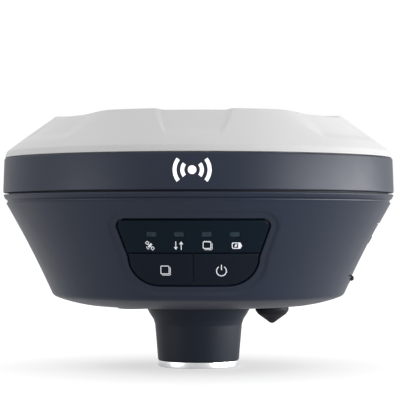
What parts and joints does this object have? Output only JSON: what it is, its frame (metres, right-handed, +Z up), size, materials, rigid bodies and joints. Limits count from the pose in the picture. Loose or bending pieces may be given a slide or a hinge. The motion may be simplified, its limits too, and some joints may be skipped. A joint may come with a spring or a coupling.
{
  "type": "gnss receiver",
  "caption": "Round satellite receiver for surveying: light radome, dark band and tapered housing with keypad, battery door and a threaded neck for a pole.",
  "frame": {"origin": "centre of the neck's foot, where the receiver sits on its pole", "axes": "+Z up along the pole, keypad faces -Y, battery door faces +X"},
  "size_m": [0.1906, 0.1906, 0.1225],
  "materials": {
    "light_plastic": "fine satin moulded plastic",
    "dark_plastic": "fine textured moulded plastic",
    "black_plastic": "plain moulded plastic",
    "panel_plastic": "smooth keypad film",
    "key_rubber": "satin key rubber",
    "rubber": "matt rubber",
    "lens": "clear tinted plastic",
    "steel": "turned steel",
    "aluminium": "machined aluminium",
    "circuit_board": "green circuit board",
    "shield_can": "tinned sheet",
    "ceramic": "fired ceramic",
    "battery_plastic": "plain moulded plastic",
    "label": "blank metal label"
  },
  "bodies": {
    "housing": {"antenna_ground_plane": "aluminium", "antenna_lower_patch": "ceramic", "antenna_port": "steel", "antenna_port_nut": "steel", "antenna_upper_patch": "ceramic", "battery_contacts": "black_plastic", "battery_pack": "battery_plastic", "battery_tray": "black_plastic", "board_screw_1": "steel", "board_screw_2": "steel", "board_screw_3": "steel", "board_screw_4": "steel", "cellular_module": "shield_can", "chassis": "aluminium", "deck_screw_1": "steel", "deck_screw_2": "steel", "deck_screw_3": "steel", "deck_screw_4": "steel", "door_seal": "rubber", "gnss_module": "shield_can", "hinge_pin": "steel", "housing_band": "dark_plastic", "housing_screw_1": "steel", "housing_screw_2": "steel", "housing_screw_3": "steel", "housing_screw_4": "steel", "housing_seal": "rubber", "indicator_panel": "panel_plastic", "insert_nut": "steel", "keypad_board": "circuit_board", "keypad_carrier": "black_plastic", "label_plate": "label", "light_pipe_1": "lens", "light_pipe_2": "lens", "light_pipe_3": "lens", "light_pipe_4": "lens", "lower_housing": "dark_plastic", "main_board": "circuit_board", "neck": "dark_plastic", "neck_screw_1": "steel", "neck_screw_2": "steel", "neck_screw_3": "steel", "neck_screw_4": "steel", "page_switch": "steel", "pole_insert": "steel", "power_switch": "steel", "radio_module": "shield_can", "radome": "light_plastic", "radome_seal": "rubber", "serial_port": "steel", "serial_port_nut": "steel", "vent_plug": "rubber"},
    "page_key": {"page_key": "key_rubber"},
    "power_key": {"power_key": "key_rubber"},
    "battery_door": {"battery_door": "dark_plastic"},
    "battery_latch": {"battery_latch": "key_rubber"},
    "antenna_port_cap": {"antenna_port_cap": "rubber"},
    "serial_port_cap": {"serial_port_cap": "rubber"}
  },
  "joints": [
    {"name": "page_key_press", "type": "slide", "parent": "housing", "child": "page_key", "axis": [0, 0.8902, 0.4556], "range_m": [0, 0.0005], "stiffness_N_per_m": 2000},
    {"name": "power_key_press", "type": "slide", "parent": "housing", "child": "power_key", "axis": [0, 0.8902, 0.4556], "range_m": [0, 0.0005], "stiffness_N_per_m": 2000},
    {"name": "battery_door_hinge", "type": "hinge", "parent": "housing", "child": "battery_door", "pos_m": [0.07405, 0, 0.0434], "axis": [0, 1, 0], "range_deg": [0, 95]},
    {"name": "battery_latch_slide", "type": "slide", "parent": "battery_door", "child": "battery_latch", "axis": [0.4804, 0, 0.877], "range_m": [0, 0.0023]},
    {"name": "antenna_port_cap_pull", "type": "slide", "parent": "housing", "child": "antenna_port_cap", "axis": [0, 0, -1], "range_m": [0, 0.012]},
    {"name": "serial_port_cap_pull", "type": "slide", "parent": "housing", "child": "serial_port_cap", "axis": [0, 0, -1], "range_m": [0, 0.012]}
  ]
}
